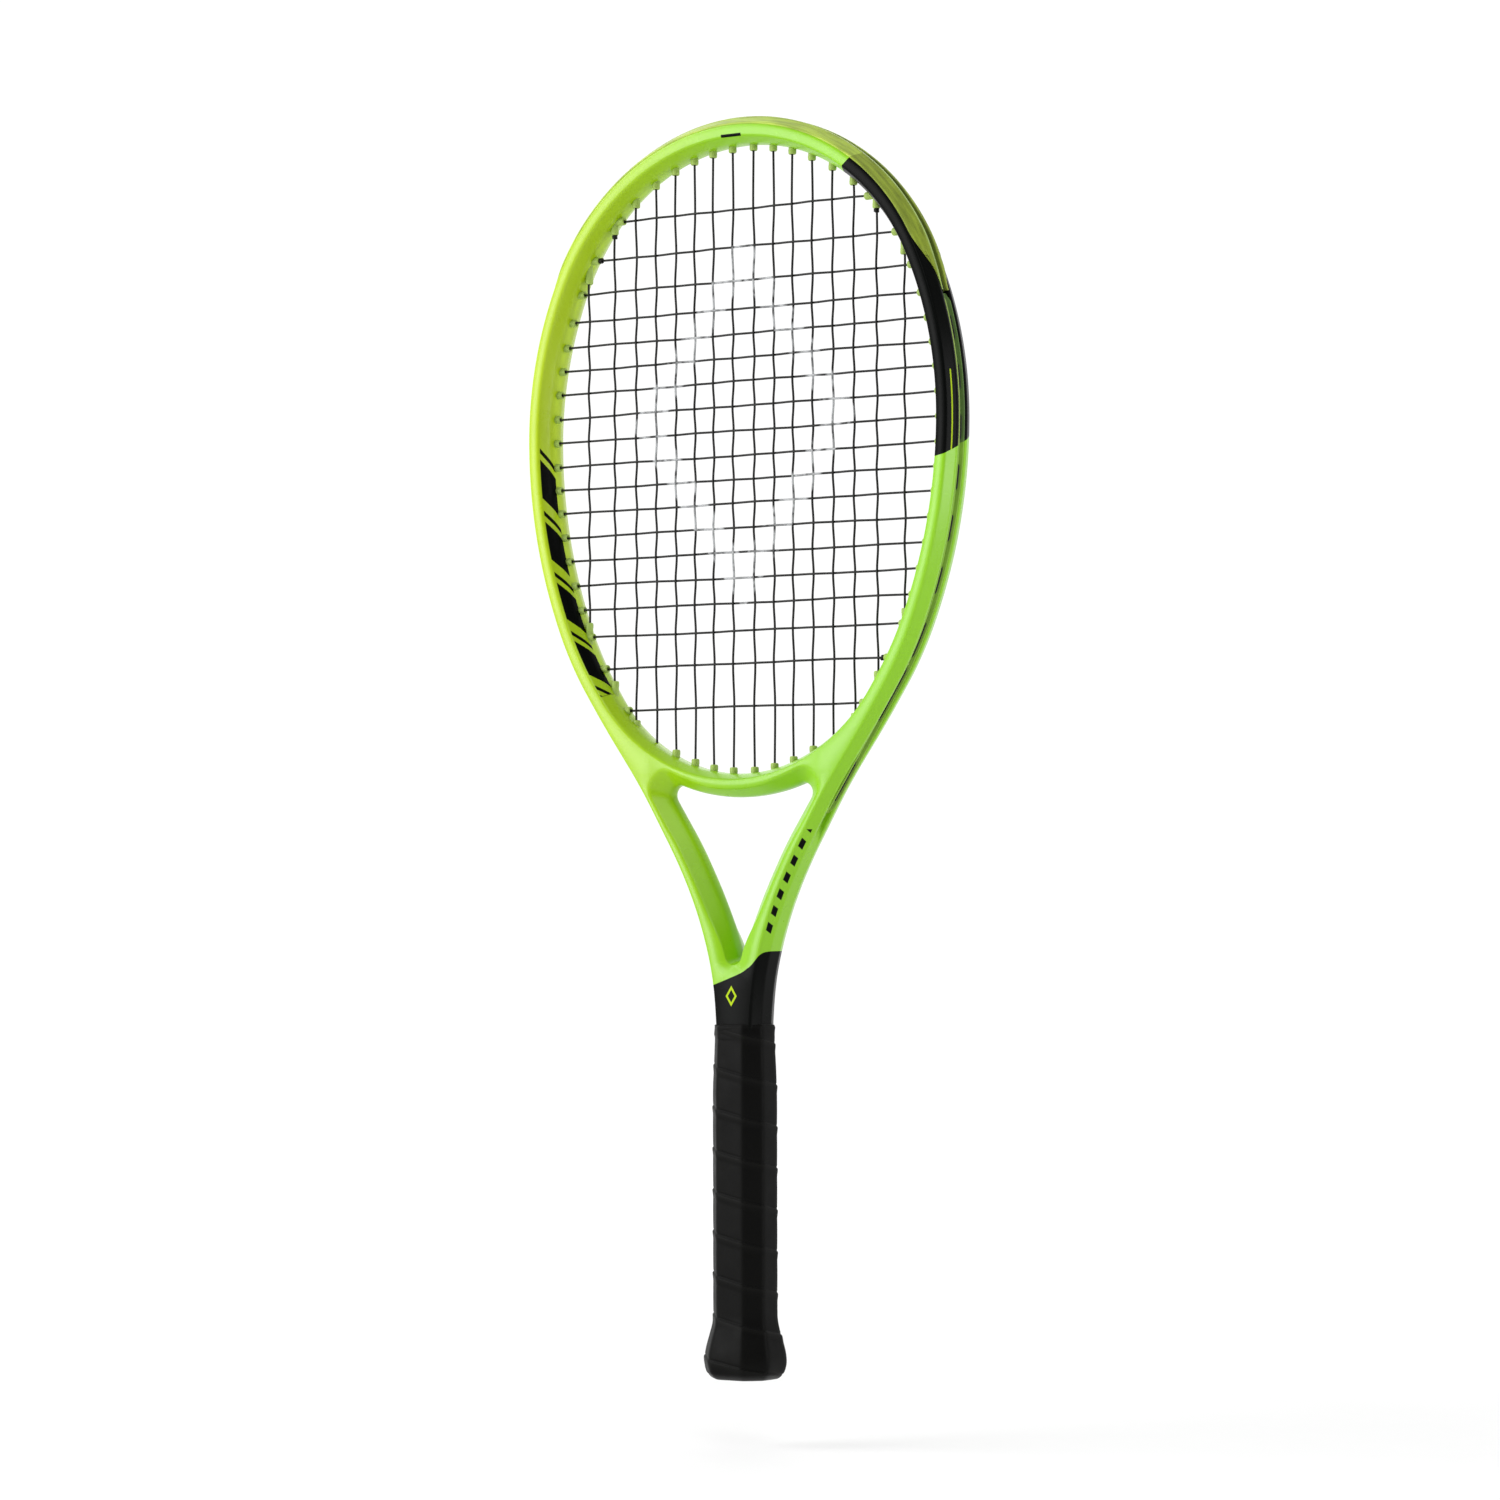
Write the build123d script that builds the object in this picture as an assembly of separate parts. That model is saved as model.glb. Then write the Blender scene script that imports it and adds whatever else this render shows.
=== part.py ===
from build123d import *
import math
import os

# A strung tennis racket with a 105 square inch head, in millimetres. It stands on its butt end:
# Z runs up the handle to the crown, X across the string face, and -Y is the front. The origin is
# the centre of the butt face.

# Driving sizes
overall_length = 685.0
crown_radius, crown_turn = 125.0, 64.5       # centreline arcs of the head, from the crown down
side_radius = 210.0
lower_radius, lower_turn = 281.0, 22.0
shoulder_radius = 191.5
arm_slope = 33.5                             # angle of each throat arm from the long axis
arm_straight = 99.0
neck_radius = 209.0
bridge_z = 320.5                             # centreline of the throat bridge on the long axis

# The frame's cross section: "out" is away from the head's centre
hoop_half_width, hoop_half_depth = 6.2, 12.3
arm_inner, arm_outer, arm_half_depth = 6.6, 7.4, 11.4
wall = 1.7
groove_floor, groove_half_width = 3.0, 3.2
bumper_out = 8.6
strip_clearance, strip_thickness = 0.05, 1.0
barrel_radius, barrel_bore, barrel_proud = 1.8, 1.0, 3.0
barrel_clearance = 0.06

# Strings
string_radius = 0.65
string_plane = 0.7                           # mains lie this far in front, crosses behind
loop_out = 5.25                              # the loops' centreline in the outer groove
loop_bend = 1.0
main_x = [6.9, 19.8, 32.2, 44.9, 58.1, 71.5, 86.1, 103.6]
bridge_mains = 4                             # the innermost mains of each side pass the bridge
cross_z = [635.1, 614.4, 596.1, 580.7, 567.0, 554.0, 541.0, 527.5, 514.0, 500.5, 487.5, 474.5,
           461.0, 447.5, 433.7, 420.0, 404.8, 387.0, 363.4]

# Bumper guard and side strips
bumper_end_z = 573.0
strip_top_z, strip_end_z = 571.0, 300.0

# Handle
grip_width, grip_depth, facet_cut = 32.6, 29.6, 0.239
grip_thickness = 1.2
grip_bottom_z, grip_top_z = 3.2, 190.0
core_bottom_z, core_top_z = 2.6, 187.0
flare_levels = [(34.0, 0.0), (25.0, 2.4), (17.0, 5.0), (9.0, 7.8), (3.2, 6.6), (0.0, 3.4)]
cap_top_z = 30.0
leg_width, leg_depth, leg_corner, leg_bottom_z = 12.8, 21.4, 6.0, 31.0
leg_gap = 0.3
neck_top_z, neck_corner = 226.0, 7.8
tape_bottom_z, tape_thickness = 182.0, 0.5
door_width, door_depth, door_thickness, door_recess = 20.0, 15.0, 1.8, 0.4
door_clearance = 0.2

crown_z = overall_length - bumper_out
outline = [
    (crown_radius, crown_turn),
    (side_radius, 90 - crown_turn),
    (lower_radius, lower_turn),
    (shoulder_radius, arm_slope - lower_turn),
    (None, arm_straight),
    (-neck_radius, -arm_slope),
]
lengths = [size if radius is None else radius * math.radians(size) for radius, size in outline]
joints = [sum(lengths[:count]) for count in range(1, len(lengths) + 1)]
widest, hoop_end, straight_end, leg_top = joints[1], joints[3], joints[4], joints[5]


def frame_point(distance, out=0.0):
    """Point and heading on the centreline, a signed distance from the crown, moved out."""
    x, z, heading = 0.0, crown_z, 0.0
    left = abs(distance)
    for (radius, _), length in zip(outline, lengths):
        step = min(left, length)
        if radius is None:
            x += step * math.cos(heading)
            z -= step * math.sin(heading)
        else:
            turned = heading + step / radius
            x += radius * (math.sin(turned) - math.sin(heading))
            z += radius * (math.cos(turned) - math.cos(heading))
            heading = turned
        left -= step
    side = -1 if distance < 0 else 1
    return side * (x + out * math.sin(heading)), z + out * math.cos(heading), side * heading


def distance_where(test, low, high):
    """The distance between low and high where test turns true."""
    for _ in range(40):
        middle = (low + high) / 2
        if test(middle):
            high = middle
        else:
            low = middle
    return low


def frame_path(start, end):
    """The centreline between two signed distances, as tangent arcs and lines."""
    stops = [stop for joint in joints for stop in (-joint, joint) if start < stop < end]
    stops = [start] + sorted(stops) + [end]
    edges = []
    for first, last in zip(stops, stops[1:]):
        ends = [frame_point(first), frame_point((first + last) / 2), frame_point(last)]
        first_point, middle_point, last_point = [(x, 0, z) for x, z, _ in ends]
        if hoop_end - 0.01 < abs(first + last) / 2 < straight_end:
            edges.append(Line(first_point, last_point))
        else:
            edges.append(ThreePointArc(first_point, middle_point, last_point))
    return Wire(edges)


def frame_sweep(section, start, end):
    """Sweep (out, depth) points along the centreline."""
    x, z, heading = frame_point(start)
    outward = (math.sin(heading), 0, math.cos(heading))
    tangent = (math.cos(heading), 0, -math.sin(heading))
    plane = Plane(origin=(x, 0, z), x_dir=outward, z_dir=tangent)
    return sweep(plane * make_face(Polyline(*section, close=True)), path=frame_path(start, end))


# The bridge is one arc, tangent to both arms, and its out is down into the throat.
line_x, line_z, line_heading = frame_point(hoop_end)
slope = math.radians(arm_slope)
bridge_radius = (line_x - (line_z - bridge_z) * math.tan(slope)) / (
    math.cos(slope) - (1 - math.sin(slope)) * math.tan(slope))
bridge_centre_z = bridge_z + bridge_radius
bridge_angle = 90 - arm_slope


def bridge_point(angle, out=0.0):
    reach = bridge_radius + out
    turn = math.radians(angle)
    return reach * math.sin(turn), bridge_centre_z - reach * math.cos(turn)


def bridge_sweep(section, angle):
    """Sweep (out, depth) points along the bridge, between minus angle and plus angle."""
    turn = math.radians(angle)
    left, bottom, right = [(x, 0, z) for x, z in map(bridge_point, (-angle, 0, angle))]
    plane = Plane(origin=left, x_dir=(-math.sin(turn), 0, -math.cos(turn)),
                  z_dir=(math.cos(turn), 0, -math.sin(turn)))
    path = Wire([ThreePointArc(left, bottom, right)])
    return sweep(plane * make_face(Polyline(*section, close=True)), path=path)


def facets(inner, outer, half_depth):
    """An eight-sided beam section, from its inner face to its outer face."""
    flat = 0.44 * half_depth
    crest = 0.48 * (inner + outer) / 2
    centre = (outer - inner) / 2
    right = [(outer, flat), (centre + crest, half_depth), (centre - crest, half_depth), (-inner, flat)]
    return right + [(out, -depth) for out, depth in reversed(right)]


def rectangle(low_out, high_out, half_depth):
    return [(low_out, -half_depth), (high_out, -half_depth), (high_out, half_depth), (low_out, half_depth)]


def rod(radius, start, end):
    """A straight round rod between two points."""
    axis = Vector(*end) - Vector(*start)
    base = Plane(origin=start, z_dir=axis.normalized())
    return base * extrude(Circle(radius), amount=axis.length)


# Where the strings leave the frame: (x, z) at a chosen distance out
def main_top(x, out):
    return frame_point(distance_where(lambda d: frame_point(d, out)[0] > x, 0, widest), out)[1]


def main_bottom(x, index, out):
    if index < bridge_mains:
        return bridge_centre_z - math.sqrt((bridge_radius + out) ** 2 - x ** 2)
    return frame_point(distance_where(lambda d: frame_point(d, out)[0] < x, widest, straight_end), out)[1]


def cross_end(z, out):
    return frame_point(distance_where(lambda d: frame_point(d, out)[1] < z, 0, straight_end), out)[0]


# Straight lines through every string hole, each from its inner end to its outer end
reach_in, reach_out = -16.0, 9.0
main_top_lines = []
main_side_lines = []
main_bridge_lines = []
for index, x in enumerate(main_x):
    for side in (-1, 1):
        place = side * x
        top = ((place, -string_plane, main_top(x, reach_in)), (place, -string_plane, main_top(x, reach_out)))
        low = ((place, -string_plane, main_bottom(x, index, reach_in)),
               (place, -string_plane, main_bottom(x, index, reach_out)))
        main_top_lines.append(top)
        if index < bridge_mains:
            main_bridge_lines.append(low)
        else:
            main_side_lines.append(low)
cross_bumper_lines = []
cross_side_lines = []
for z in cross_z:
    for side in (-1, 1):
        near, far = side * cross_end(z, reach_in), side * cross_end(z, reach_out)
        line = ((near, string_plane, z), (far, string_plane, z))
        if z > bumper_end_z:
            cross_bumper_lines.append(line)
        else:
            cross_side_lines.append(line)


def drill(solid, lines, radius):
    """Cut the string holes, whole and clean, along their lines."""
    return solid - [rod(radius, start, end) for start, end in lines]


# Frame: the hoop, the two arms, the bridge and the neck, all hollow
hole_radius = barrel_radius + barrel_clearance
hoop_outer = facets(hoop_half_width, hoop_half_width, hoop_half_depth)
hoop_void = [(1.4, -6.0), (1.4, 6.0), (0.9, 10.4), (-1.9, 10.4), (-4.5, 5.0), (-4.5, -5.0), (-1.9, -10.4),
             (0.9, -10.4)]
groove = rectangle(groove_floor, bumper_out + 2, groove_half_width)
hoop = frame_sweep(hoop_outer, -hoop_end, hoop_end)
hoop -= frame_sweep(hoop_void, -hoop_end, hoop_end)
hoop -= frame_sweep(groove, -hoop_end, hoop_end)

arm_section = facets(arm_inner, arm_outer, arm_half_depth)
arm_void = [(1.2, -6.0), (1.2, 6.0), (0.6, arm_half_depth - wall), (-2.4, arm_half_depth - wall), (-4.9, 4.5),
            (-4.9, -4.5), (-2.4, wall - arm_half_depth), (0.6, wall - arm_half_depth)]
groove_end = distance_where(lambda d: frame_point(d)[1] < strip_end_z, hoop_end, straight_end)
arm = frame_sweep(arm_section, hoop_end, leg_top)
arm -= frame_sweep(arm_void, hoop_end, leg_top)
arm -= frame_sweep(groove, hoop_end, groove_end)
arm_keep = Pos(leg_gap / 2 + 100, 0, neck_top_z + 100) * Box(200, 60, 200)
arm_right = arm & arm_keep
arm_left = mirror(arm_right, Plane.YZ)
arm_envelope = frame_sweep(arm_section, hoop_end, leg_top)
arm_envelopes = [arm_envelope, mirror(arm_envelope, Plane.YZ)]
hoop_envelope = frame_sweep(hoop_outer, -hoop_end, hoop_end)

bridge = bridge_sweep(facets(5.8, hoop_half_width, 11.0), bridge_angle)
bridge -= bridge_sweep([(1.4, -5.5), (1.4, 5.5), (-4.2, 5.0), (-4.2, -5.0)], bridge_angle)
bridge -= bridge_sweep(groove, bridge_angle)
for envelope in arm_envelopes + [hoop_envelope]:
    bridge -= envelope
bridge = max(bridge.solids(), key=lambda solid: solid.volume)

side_lines = main_side_lines + cross_side_lines
hoop = drill(hoop, main_top_lines + cross_bumper_lines + side_lines, hole_radius)
right_side_lines = [line for line in side_lines if line[0][0] > 0]
left_side_lines = [line for line in side_lines if line[0][0] < 0]
arm_right = drill(arm_right, right_side_lines, hole_radius)
arm_left = drill(arm_left, left_side_lines, hole_radius)
bridge = drill(bridge, main_bridge_lines + side_lines, hole_radius)


def at_height(z, sketch):
    return Plane.XY.offset(z) * sketch


neck_levels = [(core_top_z, 27.6, 23.6), (204.0, 28.8, 23.2), (216.0, 32.4, 22.8), (neck_top_z, 37.6, 22.6)]
neck = loft([at_height(z, RectangleRounded(width, depth, neck_corner)) for z, width, depth in neck_levels],
            ruled=True)
neck -= loft([at_height(z, RectangleRounded(width - 2 * wall, depth - 2 * wall, neck_corner - wall))
              for z, width, depth in neck_levels], ruled=True)


# Bumper guard and grommet strips: a thin strip in the groove with one barrel for each string
strip_low = groove_floor + strip_clearance
strip_high = strip_low + strip_thickness
strip_half = groove_half_width - 0.3
channel_half = 2.0
flap = hoop_half_width + strip_clearance
bumper_half = [(strip_low, strip_half), (flap, strip_half), (flap, 5.45), (3.64, 11.2), (4.4, 11.5), (8.3, 5.4),
               (bumper_out, 4.2), (bumper_out, channel_half), (strip_high, channel_half)]
bumper_section = bumper_half + [(out, -depth) for out, depth in reversed(bumper_half)]
barrel_band = rectangle(-hoop_half_width - barrel_proud, strip_high - strip_thickness / 2, 4.0)


def grommet_strip(strip, band, lines):
    """Join a strip with its barrels, trimmed to the band, and open their bores."""
    barrels = [rod(barrel_radius, start, end) & band for start, end in lines]
    return drill(strip + barrels, lines, barrel_bore)


bumper_end = distance_where(lambda d: frame_point(d)[1] < bumper_end_z, 0, hoop_end)
strip_top = distance_where(lambda d: frame_point(d)[1] < strip_top_z, 0, hoop_end)
strip_end = distance_where(lambda d: frame_point(d)[1] < strip_end_z + 2, hoop_end, straight_end)
bumper = grommet_strip(frame_sweep(bumper_section, -bumper_end, bumper_end),
                       frame_sweep(barrel_band, -bumper_end - 2, bumper_end + 2),
                       main_top_lines + cross_bumper_lines)
side_strip_section = rectangle(strip_low, strip_high, strip_half)
strip_right = grommet_strip(frame_sweep(side_strip_section, strip_top, strip_end),
                            frame_sweep(barrel_band, strip_top, strip_end), right_side_lines)
strip_left = mirror(strip_right, Plane.YZ)
throat_angle = 25.0
strip_throat = grommet_strip(bridge_sweep(side_strip_section, throat_angle),
                             bridge_sweep(barrel_band, throat_angle + 2), main_bridge_lines)


# Strings: two lengths, each one continuous run with loops in the outer groove
def string_run(points):
    path = FilletPolyline(*points, radius=loop_bend)
    section = Plane(origin=path @ 0, z_dir=path % 0) * Circle(string_radius)
    return sweep(section, path=path)


tail = 9.0
tail_distance = tail + distance_where(lambda d: frame_point(d, loop_out)[0] > main_x[-1], 0, widest)
tail_start = frame_point(tail_distance, loop_out)
main_points = [(-tail_start[0], -string_plane, tail_start[1])]
order = [(-x, index) for index, x in reversed(list(enumerate(main_x)))]
order += [(x, index) for index, x in enumerate(main_x)]
for count, (x, index) in enumerate(order):
    top = (x, -string_plane, main_top(abs(x), loop_out))
    low = (x, -string_plane, main_bottom(abs(x), index, loop_out))
    main_points += [top, low] if count % 2 == 0 else [low, top]
main_points.append((tail_start[0], -string_plane, tail_start[1]))
main_strings = string_run(main_points)

cross_points = []
for count, z in enumerate(cross_z):
    half = cross_end(z, loop_out)
    run = [(-half, string_plane, z), (half, string_plane, z)]
    cross_points += run if count % 2 == 0 else run[::-1]
first_tail = distance_where(lambda d: frame_point(d, loop_out)[1] < cross_z[0], 0, straight_end) - tail
last_tail = distance_where(lambda d: frame_point(d, loop_out)[1] < cross_z[-1], 0, straight_end) + tail
first_x, first_z, _ = frame_point(-first_tail, loop_out)
last_x, last_z, _ = frame_point(last_tail, loop_out)
cross_points = [(first_x, string_plane, first_z)] + cross_points + [(last_x, string_plane, last_z)]
cross_strings = string_run(cross_points)

# Tie-off knots: a tight turn of string round its neighbour, just inside the frame
knot_length, knot_radius, knot_bore = 3.0, 1.7, string_radius + 0.02
knot_in = -hoop_half_width - barrel_proud - 3.0
knots = []
for side in (-1, 1):
    z = main_top(main_x[-2], knot_in)
    place = (side * main_x[-2], -string_plane, z)
    base = (place[0], place[1], z - knot_length)
    knots.append(rod(knot_radius, base, place) - rod(knot_bore, base, place))
for side, z in ((-1, cross_z[1]), (1, cross_z[-2])):
    x = cross_end(z, knot_in)
    place = (side * x, string_plane, z)
    base = (side * (x - knot_length), string_plane, z)
    knots.append(rod(knot_radius, base, place) - rod(knot_bore, base, place))


# Handle
def octagon(width, depth):
    """The eight facets of a racket handle: wide front and back, narrower sides."""
    cut = facet_cut * width
    half_width, half_depth = width / 2, depth / 2
    corner = [(half_width, half_depth - cut), (half_width - cut, half_depth)]
    points = corner + [(-x, y) for x, y in reversed(corner)]
    points += [(-x, -y) for x, y in points]
    return make_face(Polyline(*points, close=True))


def flared(inset, levels):
    """A handle form through the flare levels, inset from the wrapped grip."""
    sketches = [at_height(z, octagon(grip_width + extra - 2 * inset, grip_depth + extra - 2 * inset))
                for z, extra in levels]
    return loft(sketches, ruled=True)


def straight(inset, low, high):
    sketch = octagon(grip_width - 2 * inset, grip_depth - 2 * inset)
    return extrude(at_height(low, sketch), amount=high - low)


flare_top = flare_levels[0][0]
full_form = flared(0, flare_levels)
inner_form = flared(grip_thickness, flare_levels[:-1])
above_rim = Pos(0, 0, grip_bottom_z + 100) * Box(200, 200, 200)
cap_zone = Pos(0, 0, cap_top_z / 2) * Box(200, 200, cap_top_z)
end_zone = Pos(0, 0, grip_bottom_z / 2) * Box(200, 200, grip_bottom_z)

core = straight(grip_thickness, flare_top, core_top_z) + (inner_form & (Pos(0, 0, 67) * Box(200, 200, 74)))
core += straight(2.4, core_bottom_z, cap_top_z)
opening = RectangleRounded(door_width, door_depth, 2.0)
leg_space = RectangleRounded(2 * leg_width + leg_gap + 0.2, leg_depth + 0.2, leg_corner)
core -= extrude(at_height(leg_bottom_z, leg_space), amount=core_top_z)
core -= extrude(at_height(0, opening), amount=leg_bottom_z + 1)

cap = (full_form & end_zone) + (inner_form & cap_zone)
cap -= straight(2.4, core_bottom_z, cap_top_z + 1)
cap -= extrude(at_height(-1, opening), amount=core_bottom_z + 2)

grip = (full_form & above_rim) + straight(0, flare_top, grip_top_z)
grip -= inner_form
grip -= straight(grip_thickness, flare_top - 1, grip_top_z + 1)

tape = straight(-tape_thickness, tape_bottom_z, grip_top_z)
tape -= straight(-0.03, tape_bottom_z - 1, grip_top_z + 1)

leg_outline = RectangleRounded(leg_width, leg_depth, leg_corner)
leg_hollow = RectangleRounded(leg_width - 2 * wall, leg_depth - 2 * wall, leg_corner - wall)
leg_face = leg_outline - leg_hollow
leg_length = core_top_z - leg_bottom_z
leg_x = (leg_width + leg_gap) / 2
leg_right = extrude(Plane.XY.offset(leg_bottom_z) * (Pos(leg_x, 0) * leg_face), amount=leg_length)
leg_left = mirror(leg_right, Plane.YZ)

# Trap door: a plate with two snap fingers and a plain badge, which pulls out of the butt face
door_face = RectangleRounded(door_width - 2 * door_clearance, door_depth - 2 * door_clearance, 1.8)
door = extrude(at_height(door_recess, door_face), amount=door_thickness)
badge_thickness = 0.3
badge_face = Ellipse(6.2, 4.6)
badge_pocket = extrude(at_height(door_recess, badge_face), amount=badge_thickness)
door -= badge_pocket
finger_height, finger_thickness, finger_width = 7.0, 1.2, 9.0
for side in (-1, 1):
    finger_y = side * (door_depth / 2 - door_clearance - finger_thickness)
    finger_z = door_recess + door_thickness + finger_height / 2
    door += Pos(0, finger_y, finger_z) * Box(finger_width, finger_thickness, finger_height)
badge = badge_pocket

# Staples: two wire staples fix the cap to the core, under the grip
staple_z, staple_wire, staple_half = 24.0, 0.9, 4.5
crown_x = (grip_width + 2.6) / 2 - grip_thickness - 0.1
staples = []
for side in (-1, 1):
    crown = Pos(side * (crown_x - 0.3), 0, staple_z) * Box(0.6, 2 * staple_half + staple_wire, staple_wire)
    for place in (-staple_half, staple_half):
        crown += Pos(side * (crown_x - 1.6), place, staple_z) * Box(2.4, staple_wire, staple_wire)
    staples.append(crown)
for staple in staples:
    cap -= staple
    core -= staple

nodes = {
    "frame_hoop": hoop,
    "throat_arm_left": arm_left,
    "throat_arm_right": arm_right,
    "throat_bridge": bridge,
    "neck_tube": neck,
    "handle_leg_left": leg_left,
    "handle_leg_right": leg_right,
    "handle_core": core,
    "butt_cap": cap,
    "butt_cap_staples": Compound(children=staples),
    "trap_door": door,
    "trap_door_badge": badge,
    "grip_wrap": grip,
    "finishing_tape": tape,
    "bumper_guard": bumper,
    "grommet_strip_left": strip_left,
    "grommet_strip_right": strip_right,
    "grommet_strip_throat": strip_throat,
    "main_strings": main_strings,
    "cross_strings": cross_strings,
    "string_knots": Compound(children=knots),
}
os.makedirs("parts", exist_ok=True)
for name, shape in nodes.items():
    export_step(shape, "parts/" + name + ".step")
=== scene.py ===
"""A strung tennis racket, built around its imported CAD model. Sizes are in millimetres, like the design."""
import math

import bmesh
import bpy
from mathutils import Matrix, Vector


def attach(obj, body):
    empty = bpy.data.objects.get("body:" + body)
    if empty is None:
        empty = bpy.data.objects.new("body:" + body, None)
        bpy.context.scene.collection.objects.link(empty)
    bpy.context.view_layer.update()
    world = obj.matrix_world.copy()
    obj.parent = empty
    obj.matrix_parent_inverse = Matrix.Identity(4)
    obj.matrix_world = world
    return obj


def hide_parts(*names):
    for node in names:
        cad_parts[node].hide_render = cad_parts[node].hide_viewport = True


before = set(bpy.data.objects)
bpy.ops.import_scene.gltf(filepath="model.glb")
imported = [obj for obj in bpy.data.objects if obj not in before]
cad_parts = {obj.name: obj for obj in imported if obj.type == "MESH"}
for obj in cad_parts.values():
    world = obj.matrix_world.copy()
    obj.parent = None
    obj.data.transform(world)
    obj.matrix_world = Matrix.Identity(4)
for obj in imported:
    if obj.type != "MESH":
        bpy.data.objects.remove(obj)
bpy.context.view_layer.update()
MM = 0.001
BODY = "racket"

# Driving sizes, the same as the design's
bumper_out = 8.6
crown_z = 685.0 - bumper_out
crown_radius, crown_turn = 125.0, 64.5
side_radius = 210.0
lower_radius, lower_turn = 281.0, 22.0
shoulder_radius = 191.5
arm_slope, arm_straight = 33.5, 99.0
neck_radius = 209.0
bridge_z = 320.5
half_width = 6.2
arm_outer, arm_inner = 7.3, 6.8
groove_depth = 3.2
loop_out = 5.0
string_radius, weave = 0.63, 0.57
main_x = [6.9, 19.8, 32.2, 44.9, 58.1, 71.5, 86.1, 103.6]
bridge_mains = 4
cross_z = [635.1, 614.4, 596.1, 580.7, 567.0, 554.0, 541.0, 527.5, 514.0, 500.5, 487.5, 474.5,
           461.0, 447.5, 433.7, 420.0, 404.8, 387.0, 363.4]
grip_width, grip_depth, facet_cut = 32.6, 29.6, 7.8
grip_top_z, tape_bottom_z = 191.5, 182.0
flare_foot, flare_most, flare_z, flare_top_z = -2.0, 8.9, 9.7, 35.0
black_top_z, black_low_z = 650.0, 497.0

outline = [
    (crown_radius, crown_turn),
    (side_radius, 90 - crown_turn),
    (lower_radius, lower_turn),
    (shoulder_radius, arm_slope - lower_turn),
    (None, arm_straight),
    (-neck_radius, -arm_slope),
]
lengths = [size if radius is None else radius * math.radians(size) for radius, size in outline]
joints = [sum(lengths[:count]) for count in range(1, len(lengths) + 1)]
widest, hoop_end, straight_end, leg_top = joints[1], joints[3], joints[4], joints[5]


def smooth(value):
    """An eased step from 0 to 1."""
    value = min(max(value, 0.0), 1.0)
    return value * value * (3 - 2 * value)


def frame_point(distance, out=0.0):
    """Point and heading on the centreline, a signed distance from the crown, moved out."""
    x, z, heading = 0.0, crown_z, 0.0
    left = abs(distance)
    for (radius, _), piece in zip(outline, lengths):
        step = min(left, piece)
        if radius is None:
            x += step * math.cos(heading)
            z -= step * math.sin(heading)
        else:
            turned = heading + step / radius
            x += radius * (math.sin(turned) - math.sin(heading))
            z += radius * (math.cos(turned) - math.cos(heading))
            heading = turned
        left -= step
    side = -1 if distance < 0 else 1
    return side * (x + out * math.sin(heading)), z + out * math.cos(heading), side * heading


def distance_where(test, low, high):
    """The distance between low and high where test turns true."""
    for _ in range(40):
        middle = (low + high) / 2
        if test(middle):
            high = middle
        else:
            low = middle
    return low


line_x, line_z, _ = frame_point(hoop_end)
slope = math.radians(arm_slope)
bridge_radius = (line_x - (line_z - bridge_z) * math.tan(slope)) / (
    math.cos(slope) - (1 - math.sin(slope)) * math.tan(slope))
bridge_centre_z = bridge_z + bridge_radius
bridge_angle = 90 - arm_slope
bridge_join = hoop_end + (line_z - (bridge_centre_z - bridge_radius * math.sin(slope))) / math.cos(slope)


def bridge_point(angle, out=0.0):
    """A point on the throat bridge, an angle in degrees from its middle, moved down into the throat."""
    turn = math.radians(angle)
    reach = bridge_radius + out
    return reach * math.sin(turn), bridge_centre_z - reach * math.cos(turn)


def spread(first, last, step):
    """Evenly spaced values from first to last, about a step apart."""
    count = max(2, math.ceil(abs(last - first) / step))
    return [first + (last - first) * index / count for index in range(count + 1)]


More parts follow.
